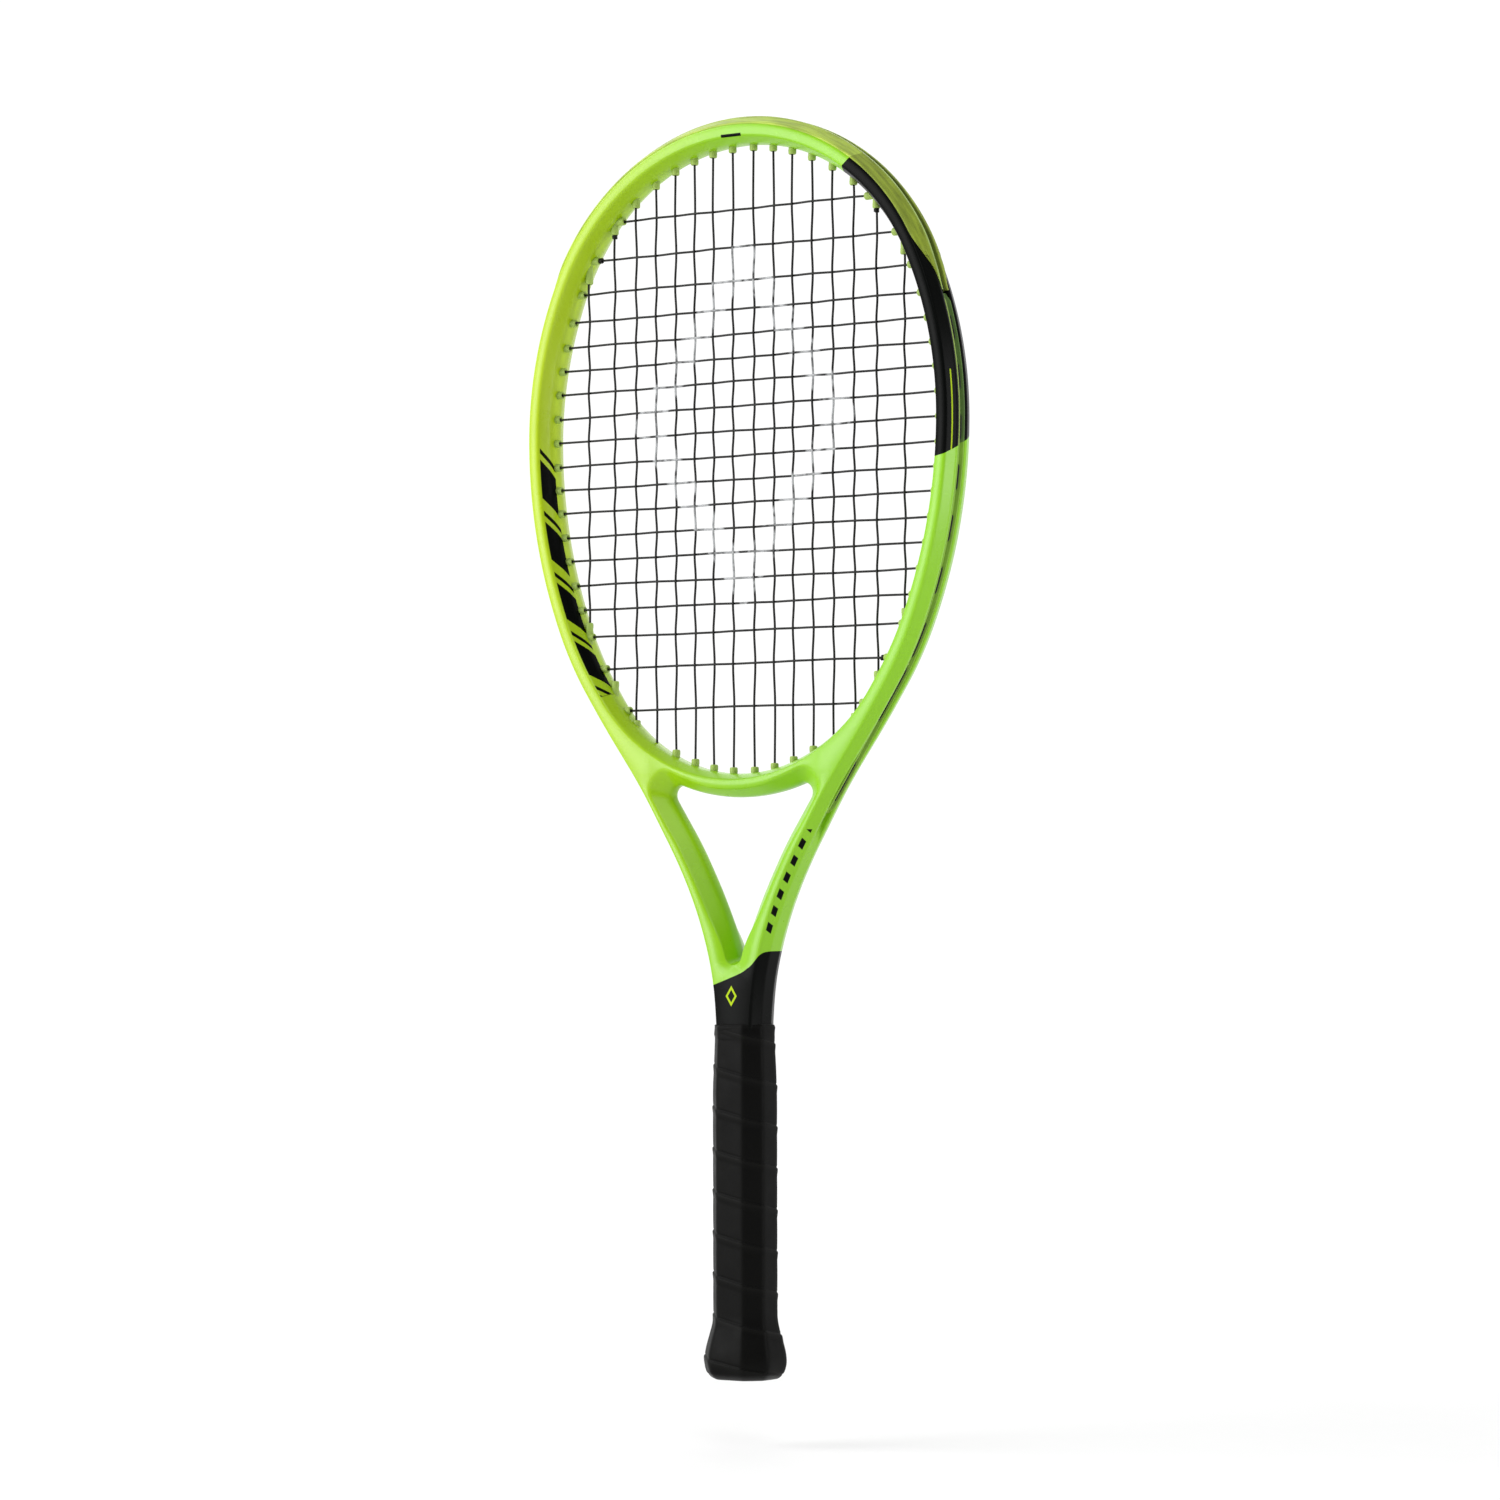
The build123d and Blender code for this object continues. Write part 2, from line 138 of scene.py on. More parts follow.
# Shader building
class Shader:
    """One procedural material, with short calls for the nodes that it uses."""

    def __init__(self, name, **sockets):
        self.material = bpy.data.materials.new(name)
        self.material.use_nodes = True
        self.tree = self.material.node_tree
        self.surface = self.tree.nodes["Principled BSDF"]
        for key, value in sockets.items():
            self.surface.inputs[key.replace("_", " ")].default_value = value
        self.place = self.node("ShaderNodeTexCoord").outputs["Object"]
        split = self.node("ShaderNodeSeparateXYZ", {0: self.place})
        self.x, self.y, self.z = [self.math("MULTIPLY", out, 1000.0) for out in split.outputs]

    def node(self, kind, inputs=None, **settings):
        """A new node with these settings, and values or links for some of its inputs."""
        made = self.tree.nodes.new(kind)
        for key, value in settings.items():
            setattr(made, key, value)
        for key, value in (inputs or {}).items():
            self.put(value, made.inputs[key])
        return made

    def link(self, start, end):
        self.tree.links.new(start, end)

    def put(self, value, socket):
        if isinstance(value, bpy.types.NodeSocket):
            self.link(value, socket)
        elif isinstance(value, tuple):
            socket.default_value = value[:len(socket.default_value)]
        else:
            socket.default_value = value

    def math(self, operation, first, second=0.0, clamp=False):
        made = self.node("ShaderNodeMath", {0: first, 1: second}, operation=operation, use_clamp=clamp)
        return made.outputs[0]

    def plus(self, first, second):
        return self.math("ADD", first, second)

    def minus(self, first, second):
        return self.math("SUBTRACT", first, second)

    def times(self, first, second):
        return self.math("MULTIPLY", first, second)

    def over(self, first, second):
        return self.math("DIVIDE", first, second)

    def gap(self, value, middle):
        """How far value is from middle."""
        return self.math("ABSOLUTE", self.minus(value, middle))

    def above(self, value, edge, soft=0.2):
        """1 where value is over edge, with an edge soft millimetres wide."""
        return self.math("ADD", self.over(self.minus(value, edge), soft), 0.5, clamp=True)

    def below(self, value, edge, soft=0.2):
        return self.minus(1.0, self.above(value, edge, soft))

    def within(self, value, low, high, soft=0.2):
        return self.times(self.above(value, low, soft), self.below(value, high, soft))

    def both(self, *masks):
        result = masks[0]
        for mask in masks[1:]:
            result = self.times(result, mask)
        return result

    def either(self, *masks):
        result = masks[0]
        for mask in masks[1:]:
            result = self.math("MAXIMUM", result, mask)
        return result

    def attribute(self, name):
        return self.node("ShaderNodeAttribute", attribute_name=name).outputs["Fac"]

    def noise(self, scale, detail=3.0, stretch=None):
        place = self.place
        if stretch:
            place = self.node("ShaderNodeMapping", {"Scale": stretch, "Vector": place}).outputs[0]
        made = self.node("ShaderNodeTexNoise", {"Scale": scale, "Detail": detail, "Vector": place})
        return made.outputs["Fac"]

    def mix(self, mask, first, second):
        return self.node("ShaderNodeMix", {0: mask, 6: first, 7: second}, data_type="RGBA").outputs[2]

    def ramp(self, value, low, high, low_colour, high_colour):
        """A colour that runs from low_colour at low to high_colour at high."""
        share = self.math("DIVIDE", self.minus(value, low), high - low, clamp=True)
        return self.mix(share, low_colour, high_colour)

    def vary(self, colour, amount, noise):
        """The same colour, a little lighter and darker with the noise."""
        shade = self.plus(self.times(noise, 2 * amount), 1 - amount)
        return self.node("ShaderNodeVectorMath", {0: colour, "Scale": shade}, operation="SCALE").outputs[0]

    def colour(self, value):
        self.put(value, self.surface.inputs["Base Color"])

    def roughness(self, low, high, noise):
        span = self.times(noise, high - low)
        self.link(self.plus(span, low), self.surface.inputs["Roughness"])

    def bump(self, height, distance, strength=1.0):
        inputs = {"Distance": distance * MM, "Strength": strength, "Height": height}
        normal = self.surface.inputs["Normal"]
        if normal.is_linked:
            inputs["Normal"] = normal.links[0].from_socket
        self.link(self.node("ShaderNodeBump", inputs).outputs[0], normal)


LIME_LEFT = (0.400, 0.560, 0.008, 1)
LIME_MIDDLE = (0.225, 0.510, 0.005, 1)
LIME_RIGHT = (0.240, 0.545, 0.010, 1)
BLACK = (0.0025, 0.0029, 0.0026, 1)
GUARD_LIME = (0.340, 0.460, 0.055, 1)
GUARD_DARK = (0.215, 0.285, 0.022, 1)
GROMMET_LIME = (0.22, 0.42, 0.03, 1)
GROMMET_DARK = (0.08, 0.16, 0.03, 1)
BARREL_GREEN = (0.300, 0.430, 0.085, 1)
# Painted shade for the string channel in the guards and strips
CHANNEL_SHADE_GREEN = (0.05, 0.085, 0.012, 1)
STRING_BLACK = (0.006, 0.006, 0.0055, 1)
STENCIL_SILVER = (0.46, 0.47, 0.48, 1)


def black_panel(shader):
    """The black stretch on the upper right of the hoop."""
    low = shader.plus(shader.z, shader.times(shader.y, -0.45))
    low = shader.plus(low, shader.times(shader.x, -0.20))
    high = shader.minus(shader.z, shader.times(shader.x, 0.85))
    return shader.both(shader.above(shader.x, 40.0), shader.above(low, black_low_z - 26.0),
                       shader.below(high, black_top_z - 60.0))


def lime(shader):
    """The frame's colour, yellow-green on the left and vivid green on the right."""
    left = shader.ramp(shader.x, -125.0, 0.0, LIME_LEFT, LIME_MIDDLE)
    return shader.mix(shader.math("DIVIDE", shader.x, 120.0, clamp=True), left, LIME_RIGHT)


def frame_paint():
    shader = Shader("frame_paint")
    flake = shader.noise(900.0, 2.0)
    colour = shader.vary(lime(shader), 0.05, shader.noise(35.0, 2.0))
    colour = shader.vary(colour, 0.02, flake)
    along = shader.attribute("along")
    inner = shader.attribute("inner")
    outer = shader.attribute("outer")
    # Slanted blocks along the left inner face, in place of lettering
    slant = shader.plus(along, shader.times(shader.y, 1.1))
    start, pitch = -421.0, 35.6
    phase = shader.math("FRACT", shader.over(shader.minus(slant, start), pitch))
    bar = shader.either(shader.below(phase, 0.62, 0.01), shader.within(phase, 0.72, 0.80, 0.01))
    blocks = shader.both(bar, shader.within(slant, start, start + 5 * pitch), shader.above(inner, 0.5, 0.02),
                         shader.within(shader.y, -11.0, -1.2))
    # A row of slim dashes up the right arm
    dash_place = shader.plus(shader.z, shader.times(shader.y, 0.6))
    dash = shader.math("FRACT", shader.over(dash_place, 9.0))
    dashes = shader.both(shader.within(dash, 0.20, 0.70, 0.03), shader.within(shader.z, 238.0, 296.0),
                         shader.above(outer, 0.5, 0.02), shader.within(shader.y, -10.4, -7.0),
                         shader.above(shader.x, 0.0))
    crown_bar = shader.both(shader.within(shader.x, -6.8, 6.2), shader.within(shader.z, 673.2, 674.8),
                            shader.below(shader.y, -5.0))
    # The black neck rises from left to right
    forward = shader.times(shader.plus(shader.y, 12.0), 0.56)
    across = shader.plus(shader.times(shader.x, 0.83), forward)
    step = shader.math("TANH", shader.over(shader.minus(across, 12.0), 4.0))
    rise = shader.times(shader.math("MINIMUM", across, 8.0), 0.42)
    rise = shader.plus(rise, shader.times(step, 5.3))
    neck = shader.below(shader.minus(shader.z, rise), 222.1)
    panel = black_panel(shader)
    black = shader.either(blocks, dashes, crown_bar, neck, panel)
    colour = shader.mix(black, colour, shader.vary(BLACK, 0.25, flake))
    gloss = shader.plus(shader.times(black, -0.31), 0.35)
    shader.link(gloss, shader.surface.inputs["Specular IOR Level"])
    # Plain trim: a pinstripe on the panel and a hollow diamond on the neck
    stripe = shader.both(panel, shader.within(along, 212.0, 262.0), shader.within(shader.y, -8.6, -7.8),
                         shader.above(outer, 0.5, 0.02))
    reach = shader.plus(shader.over(shader.gap(shader.x, -1.0), 3.6),
                        shader.over(shader.gap(shader.z, 206.5), 5.6))
    diamond = shader.both(shader.within(reach, 0.62, 1.0, 0.05), shader.below(shader.y, -5.0))
    colour = shader.mix(shader.either(stripe, diamond), colour, LIME_LEFT)
    shader.colour(colour)
    shader.roughness(0.24, 0.32, shader.noise(60.0, 3.0))
    return shader.material


def guard_plastic(name, colour, dark_colour, groove_shade, streaks):
    """Translucent nylon: it shows darker over black paint, with streaks that run along it. Over the black
    paint its front edge has a painted highlight, and the middle of its groove is painted darker as shade.
    """
    shader = Shader(name, Specular_IOR_Level=0.3)
    streak = shader.noise(60.0, 4.0, (1.0, 9.0, 1.0))
    # Painted highlight: near the groove, over the black paint, the front edge is lighter and fades towards
    # the back
    painted_edge_highlight = shader.ramp(shader.y, -3.0, 0.5, BARREL_GREEN, dark_colour)
    near_groove = shader.within(shader.y, -4.0, 4.0, 0.5)
    over_black = shader.mix(near_groove, dark_colour, painted_edge_highlight)
    tint = shader.mix(black_panel(shader), colour, over_black)
    tint = shader.vary(tint, streaks, streak)
    # Painted shade in the string channel down the middle of the groove
    channel = shader.within(shader.y, -2.1, 2.1, 0.5)
    tint = shader.mix(shader.times(channel, groove_shade), tint, CHANNEL_SHADE_GREEN)
    barrels = shader.attribute("barrel")
    tint = shader.mix(barrels, tint, shader.vary(BARREL_GREEN, 0.12, shader.noise(300.0)))
    shader.colour(tint)
    shader.roughness(0.34, 0.52, shader.noise(260.0, 3.0))
    shader.bump(shader.noise(700.0, 2.0), 0.03, 0.6)
    return shader.material


def string_plastic():
    """Black monofilament with a faded silver diamond stencilled across the string bed."""
    shader = Shader("string_black", Coat_Weight=0.04, Coat_Roughness=0.3, Specular_IOR_Level=0.2)
    reach = shader.plus(shader.over(shader.gap(shader.x, 0.0), 74.0),
                        shader.over(shader.gap(shader.z, 520.0), 104.0))
    ring = shader.within(reach, 0.74, 1.0, 0.02)
    lighter_mark = shader.times(shader.above(shader.noise(160.0, 4.0), 0.46, 0.22), 0.85)
    colour = shader.mix(shader.both(ring, lighter_mark), STRING_BLACK, STENCIL_SILVER)
    shader.colour(colour)
    shader.roughness(0.30, 0.46, shader.noise(900.0, 3.0))
    shader.bump(shader.noise(2400.0, 2.0), 0.01, 0.4)
    return shader.material


def grip_skin(name, bright=1.0):
    """Satin polyurethane with a fine leather grain, lighter along the raised lips: wear and a painted sheen.
    """
    shader = Shader(name, Specular_IOR_Level=0.065)
    lip = shader.attribute("lip")
    grain = shader.noise(1500.0, 4.0)
    base = (0.0026 * bright, 0.0026 * bright, 0.0023 * bright, 1)
    # The lighter colour on the raised lips is wear and a painted sheen
    lighter_mark = (0.010 * bright, 0.010 * bright, 0.009 * bright, 1)
    shade = shader.times(lip, 0.4)
    colour = shader.vary(shader.mix(shade, base, lighter_mark), 0.30, shader.noise(55.0, 3.0))
    shader.colour(shader.vary(colour, 0.2, grain))
    shader.roughness(0.36, 0.56, shader.noise(130.0, 4.0))
    shader.bump(grain, 0.05, 0.6)
    cells = shader.node("ShaderNodeTexVoronoi", {"Scale": 1100.0, "Vector": shader.place},
                        feature="DISTANCE_TO_EDGE")
    shader.bump(cells.outputs["Distance"], 0.06, 0.5)
    return shader.material


def moulded(name, colour, low=0.35, high=0.55, grain=900.0, metallic=0.0):
    """A plain moulded or drawn surface with a fine grain."""
    shader = Shader(name, Metallic=metallic, Specular_IOR_Level=0.5 if metallic else 0.2)
    shader.colour(shader.vary(colour, 0.12, shader.noise(120.0, 3.0)))
    shader.roughness(low, high, shader.noise(300.0, 3.0))
    shader.bump(shader.noise(grain, 3.0), 0.04, 0.6)
    return shader.material


def carbon():
    """Bare carbon: fine crossing strands under a thin resin film."""
    shader = Shader("carbon_tube", Coat_Weight=0.3, Coat_Roughness=0.2)
    wave = shader.node("ShaderNodeTexWave", {"Scale": 300.0, "Distortion": 0.6, "Vector": shader.place},
                       wave_type="BANDS", bands_direction="DIAGONAL")
    shader.colour(shader.mix(wave.outputs["Fac"], (0.015, 0.015, 0.016, 1), (0.06, 0.06, 0.065, 1)))
    shader.roughness(0.3, 0.45, shader.noise(200.0))
    return shader.material


paint = frame_paint()
guard = guard_plastic("guard_nylon", GUARD_LIME, GUARD_DARK, 0.65, 0.75)
grommet = guard_plastic("grommet_nylon", GROMMET_LIME, GROMMET_DARK, 0.15, 0.3)
string = string_plastic()
grip_material = grip_skin("grip_polyurethane")
tape_material = grip_skin("finishing_tape_rubber", 0.8)
cap_material = moulded("cap_nylon", (0.006, 0.006, 0.0058, 1))
badge_material = moulded("badge_plain", (0.18, 0.19, 0.20, 1), 0.18, 0.30, 500.0)
steel = moulded("staple_steel", (0.55, 0.55, 0.54, 1), 0.22, 0.4, 1500.0, metallic=1.0)
foam = moulded("handle_foam", (0.10, 0.10, 0.095, 1), 0.6, 0.85, 450.0)
carbon_material = carbon()


# Mesh building
def add_object(name, data):
    made = bpy.data.objects.new(name, data)
    bpy.context.scene.collection.objects.link(made)
    return made


class Surface:
    """Points and faces gathered for one mesh."""

    def __init__(self):
        self.points = []
        self.faces = []

    def ring(self, points):
        """Adds points and returns their indices."""
        first = len(self.points)
        self.points += [tuple(point) for point in points]
        return list(range(first, len(self.points)))

    def join(self, first, second):
        """Quads between two closed rings of the same count."""
        for index in range(len(first)):
            after = (index + 1) % len(first)
            self.faces.append((first[index], first[after], second[after], second[index]))

    def cap(self, ring):
        """A fan that closes a small ring."""
        middle = self.ring([[sum(self.points[i][axis] for i in ring) / len(ring) for axis in range(3)]])[0]
        for index, point in enumerate(ring):
            self.faces.append((point, ring[(index + 1) % len(ring)], middle))

    def loft(self, rings, capped=False):
        """Joins each ring to the next, and closes both ends if they are capped."""
        for first, second in zip(rings, rings[1:]):
            self.join(first, second)
        if capped:
            self.cap(rings[0])
            self.cap(rings[-1])

    def finish(self, name, material, slot, replaced, fill=None, **attributes):
        """The piece that stands for some nodes, with its normals facing out."""
        mesh = bpy.data.meshes.new(name)
        mesh.from_pydata([[value * MM for value in point] for point in self.points], [], self.faces)
        bm = bmesh.new()
        bm.from_mesh(mesh)
        if fill:
            fill(bm)
        bmesh.ops.recalc_face_normals(bm, faces=bm.faces)
        bm.to_mesh(mesh)
        bm.free()
        for key, values in attributes.items():
            mesh.attributes.new(key, "FLOAT", "POINT").data.foreach_set("value", values)
        mesh.materials.append(material)
        for polygon in mesh.polygons:
            polygon.use_smooth = True
        piece = add_object(name, mesh)
        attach(piece, BODY)
        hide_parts(*replaced)


def circle(sides):
    return [2 * math.pi * step / sides for step in range(sides)]


def round_ring(surface, centre, radius, side, up, sides):
    """A ring of points in the plane of side and up."""
    return surface.ring([centre + radius * (math.cos(t) * side + math.sin(t) * up) for t in circle(sides)])


def tube(surface, path, radius, sides=10):
    """A round tube along a path that stays near the XZ plane."""
    rings = []
    for index, point in enumerate(path):
        before = Vector(path[max(index - 1, 0)])
        after = Vector(path[min(index + 1, len(path) - 1)])
        along = (after - before).normalized()
        side = along.cross(Vector((0, 1, 0))).normalized()
        rings.append(round_ring(surface, Vector(point), radius, side, side.cross(along), sides))
    surface.loft(rings, capped=True)


# The moulded frame: three outlines, each with its own facets, joined by one crest
def closed_normals(rows):
    """The sideways direction at each row of a closed outline."""
    normals = []
    for index in range(len(rows)):
        x0, z0 = rows[index - 1][:2]
        x1, z1 = rows[(index + 1) % len(rows)][:2]
        size = math.hypot(x1 - x0, z1 - z0)
        normals.append(((z1 - z0) / size, -(x1 - x0) / size))
    return normals


def outer_out(distance):
    """How far the outer face stands from the centreline."""
    share = smooth((abs(distance) - hoop_end + 60) / 110)
    neck = smooth((abs(distance) - leg_top + 45) / 40)
    waist = 1.9 * math.exp(-((frame_point(distance)[1] - 322.0) / 28.0) ** 2)
    return half_width + (arm_outer - half_width) * share + 0.7 * neck - waist


def throat_in(distance):
    """How far the throat's face stands in from the centreline: the arms widen towards the neck."""
    low = distance_where(lambda d: frame_point(d)[1] < 277.0, hoop_end, leg_top)
    return arm_inner + 2.4 * smooth((distance - low) / 62)


def depth_at(z):
    """The beam is deepest at the head's sides and slimmer at the crown, throat and neck."""
    crown = 1 - 0.05 * smooth((z - 560) / 110)
    throat = 1 - 0.075 * smooth((440 - z) / 110)
    return crown * throat + 0.03 * smooth((225 - z) / 30)


def groove_at(distance):
    """The groove's depth, which fades out on the arms."""
    _, z, _ = frame_point(distance)
    return groove_depth * smooth((z - 292.0) / 10)


def outer_outline():
    """(x, z), signed distance and groove depth round the whole frame, down to inside the handle."""
    rows = []
    for distance in spread(-leg_top, leg_top, 2.2):
        x, z, _ = frame_point(distance, outer_out(distance))
        rows.append((x, z, distance, groove_at(distance)))
    corner = 6.0
    x_end, z_end = rows[-1][:2]
    quarter = [math.radians(turn) for turn in spread(0, 90, 12)]
    bend = [(x_end - corner * (1 - math.cos(angle)), z_end - corner * math.sin(angle)) for angle in quarter]
    rows += [(x, z, leg_top, 0.0) for x, z in bend[1:]]
    rows += [(x, z_end - corner, leg_top, 0.0) for x in spread(x_end - corner, corner - x_end, 2.2)[1:]]
    rows += [(-x, z, -leg_top, 0.0) for x, z in reversed(bend[1:-1])]
    return rows


def head_outline():
    """The inside of the head: the hoop's inner face, then the top of the bridge."""
    rows = []
    for distance in spread(-bridge_join, bridge_join, 2.2):
        x, z, _ = frame_point(distance, -half_width)
        rows.append((x, z, distance, 0.0))
    for angle in spread(bridge_angle, -bridge_angle, 1.2)[1:-1]:
        x, z = bridge_point(angle, -half_width)
        rows.append((x, z, bridge_join + (bridge_angle - angle) * math.radians(bridge_radius), 0.0))
    return rows


def throat_outline():
    """The open throat: the bridge's lower edge, two rounded corners, the arms and a small rounded tip."""
    corner, tip = 5.5, 2.4
    edge = bridge_radius + half_width

    def corner_centre(distance):
        return frame_point(distance, -throat_in(distance) - corner)

    def apart(distance):
        x, z, _ = corner_centre(distance)
        return math.hypot(x, z - bridge_centre_z) > edge + corner

    arm_start = distance_where(apart, hoop_end, straight_end)
    cx, cz, heading = corner_centre(arm_start)
    from_bridge = math.atan2(cz - bridge_centre_z, cx)
    rows = [bridge_point(angle, half_width) for angle in spread(0, math.degrees(from_bridge) + 90, 1.2)]
    turn_start = from_bridge + math.pi
    turn_end = math.pi / 2 - heading
    while turn_end > turn_start:
        turn_end -= 2 * math.pi
    for turn in spread(turn_start, turn_end, 0.12)[1:]:
        rows.append((cx + corner * math.cos(turn), cz + corner * math.sin(turn)))
    arm_end = distance_where(lambda d: frame_point(d, -throat_in(d) - tip)[0] < 0, arm_start, leg_top)
    for distance in spread(arm_start, arm_end, 2.2)[1:]:
        rows.append(frame_point(distance, -throat_in(distance))[:2])
    _, tip_z, heading = frame_point(arm_end, -throat_in(arm_end) - tip)
    for turn in spread(math.pi / 2 - heading, -math.pi / 2, 0.2)[1:-1]:
        rows.append((tip * math.cos(turn), tip_z + tip * math.sin(turn)))
    rows.append((0.0, tip_z - tip))
    left = [(-x, z) for x, z in reversed(rows[1:-1])]
    return [(x, z, 0.0, scoop_at(x, z)) for x, z in rows + left]


def scoop_at(x, z):
    """How far the throat's bevel widens: into a hollow beside each end of the bridge, less at the tip."""
    away = math.hypot(abs(x) - 40.0, z - 314.0)
    hollow = 0.8 * (1 - smooth((away - 2.0) / 16.0))
    under_bridge = 0.30 * smooth((z - 306.0) / 6.0) * (1 - smooth((abs(x) - 30.0) / 8.0))
    return hollow - under_bridge - 0.55 * (1 - smooth((z - 232.0) / 22.0))


OUTER_FACETS = [(0.0, 3.6), (0.0, 4.9), (0.10, 5.5), (0.40, 6.2), (1.0, 7.6), (1.75, 9.4), (2.3, 10.8),
                (2.6, 11.45), (2.9, 11.9), (3.3, 12.15), (3.9, 12.3)]
HEAD_FACETS = [(-0.35, 0.0), (-0.30, 2.0), (-0.10, 3.8), (0.10, 4.9), (0.40, 5.8), (1.0, 7.25), (1.85, 9.1),
               (2.65, 10.8), (3.05, 11.5), (3.5, 12.0), (4.2, 12.3)]
THROAT_FACETS = [(-0.30, 0.0), (-0.22, 1.5), (0.0, 2.9), (0.35, 3.8), (1.0, 4.9), (2.3, 6.7), (3.9, 8.9),
                 (5.2, 10.7), (5.75, 11.45), (6.2, 11.9), (6.9, 12.3)]


def facet_rings(surface, rows, facets, inward, groove=False):
    """The rings of one outline, from its front crest over the wall to its back crest.

    The last value of each row is the groove's depth, or how much wider the bevel is.
    """
    normals = closed_normals(rows)
    front = [(offset, -depth, 0.0) for offset, depth in reversed(facets)]
    middle = []
    if groove:
        middle = [(0.0, -3.3, 0.06), (0.0, -3.1, 0.3), (0.0, -2.95, 0.9), (0.0, -2.7, 1.0), (0.0, 0.0, 1.0),
                  (0.0, 2.7, 1.0), (0.0, 2.95, 0.9), (0.0, 3.1, 0.3), (0.0, 3.3, 0.06)]
    back = [(offset, depth, 0.0) for offset, depth in facets if groove or depth > 0]
    rings = []
    for offset, depth, share in front + middle + back:
        points = []
        for (x, z, _, groove_size), (nx, nz) in zip(rows, normals):
            if groove:
                step = inward * (offset + share * groove_size)
            else:
                step = inward * offset * (1 + groove_size)
            points.append((x + nx * step, depth * depth_at(z), z + nz * step))
        rings.append(surface.ring(points))
    surface.loft(rings)
    return rings


def crest_line(rows, facets, inward):
    """Where the facets of an outline end, on the crest."""
    normals = closed_normals(rows)
    reach = inward * facets[-1][0]
    return [(x + nx * reach, z + nz * reach) for (x, z, _, _), (nx, nz) in zip(rows, normals)]


def kept_clear(rows, facets, others, margin=1.6):
    """The same rows, with each bevel widened only as far as it stays clear of the other crests."""
    normals = closed_normals(rows)
    widths = []
    for (x, z, _, wanted), (nx, nz) in zip(rows, normals):
        widen = -0.6
        while widen < wanted:
            reach = facets[-1][0] * (1.05 + widen)
            if min(math.hypot(x - nx * reach - px, z - nz * reach - pz) for px, pz in others) < margin:
                break
            widen += 0.05
        widths.append(widen)
    for _ in range(6):
        after = widths[1:] + widths[:1]
        widths = [(widths[at - 1] + 2 * width + after[at]) / 4 for at, width in enumerate(widths)]
    return [(x, z, distance, widen) for (x, z, distance, _), widen in zip(rows, widths)]


def build_frame():
    surface = Surface()
    outer, head = outer_outline(), head_outline()
    crests = crest_line(outer, OUTER_FACETS, 1) + crest_line(head, HEAD_FACETS, -1)
    throat = kept_clear(throat_outline(), THROAT_FACETS, crests)
    sides, along, zones = [], [], []
    for zone, (rows, facets, inward) in enumerate(((outer, OUTER_FACETS, 1), (head, HEAD_FACETS, -1),
                                                   (throat, THROAT_FACETS, -1))):
        before = len(surface.points)
        rings = facet_rings(surface, rows, facets, inward, zone == 0)
        sides.append((rings[0], rings[-1]))
        along += [distance for _, _, distance, _ in rows] * len(rings)
        zones += [zone] * (len(surface.points) - before)

    def fill_crests(bm):
        """Triangles between the three outlines, on the front and on the back."""
        bm.verts.ensure_lookup_table()
        for face, facing in ((0, -1), (1, 1)):
            edges = []
            for pair in sides:
                ring = pair[face]
                for first, second in zip(ring, ring[1:] + ring[:1]):
                    edges.append(bm.edges.get((bm.verts[first], bm.verts[second])))
            bmesh.ops.triangle_fill(bm, use_beauty=True, use_dissolve=False, edges=edges,
                                    normal=(0, facing, 0))

    nodes = ["frame_hoop", "throat_arm_left", "throat_arm_right", "throat_bridge", "neck_tube"]
    surface.finish("frame_body", paint, "frame_paint", nodes, fill_crests, along=along,
                   outer=[float(zone == 0) for zone in zones], inner=[float(zone == 1) for zone in zones])


# Bumper guard, grommet strips and their barrels
def sweep(surface, section, stations):
    """Joins (point, outward, share) stations by the section of (out, depth) points at each share."""
    rings = []
    for place, outward, share in stations:
        rings.append(surface.ring([(place[0] + outward[0] * out, depth * depth_at(place[1]),
                                    place[1] + outward[1] * out) for out, depth in section(share)]))
    surface.loft(rings, capped=True)


def frame_stations(start, end):
    stations = []
    for distance in spread(start, end, 2.4):
        x, z, heading = frame_point(distance)
        outward = (math.sin(heading), math.cos(heading))
        stations.append(((x, z), outward, min(distance - start, end - distance)))
    return stations


def bumper_section(reach):
    """The guard's section, which covers the outer facets and tapers to a point at each end."""
    grow = smooth((reach - 1) / 34)
    tip = 0.25 + 0.75 * smooth(reach / 12)
    flap = 3.3 + 8.4 * grow
    thick = (0.7 + 1.35 * grow + 0.3 * smooth((reach - 90) / 65)) * tip
    skin = (0.5 + 0.8 * grow) * tip
    top = half_width + thick

    def facet(depth):
        return half_width - 3.2 * max(depth - 5.4, 0) / 6.9 + 0.03

    half = [(3.05, 0.0), (3.05, 2.6), (3.4, 2.88), (half_width + 0.03, 2.9), (facet(5.3), min(flap, 5.3)),
            (facet(flap), flap), (facet(flap) + 0.35 * skin, flap + 0.22),
            (facet(flap) + 0.85 * skin, flap - 0.1), (facet(flap) + skin, max(flap - 0.5, min(flap, 4.5))),
            (facet(8.4) + 1.12 * skin, min(flap, 8.4)),
            (max(top - 0.5 * thick, facet(6.2) + skin), min(flap, 5.9)),
            (top - 0.15 * thick, min(flap, 4.9)), (top, min(flap, 4.0)), (top, 2.5),
            (top - 0.15, 2.15), (top - 0.6, 1.95), (4.6, 1.85), (4.1, 1.6), (4.05, 0.0)]
    return half + [(out, -depth) for out, depth in reversed(half[1:-1])]


def strip_section(reach):
    """A strip on the groove's floor with a rib along each edge, which dies away at the ends."""
    rib = 4.3 + 1.7 * smooth(reach / 5)
    half = [(3.05, 0.0), (3.05, 2.5), (3.3, 2.85), (rib - 0.2, 2.95), (rib, 2.75), (rib, 2.1),
            (rib - 0.2, 1.9), (4.15, 1.8), (4.05, 1.6), (4.05, 0.0)]
    return half + [(out, -depth) for out, depth in reversed(half[1:-1])]


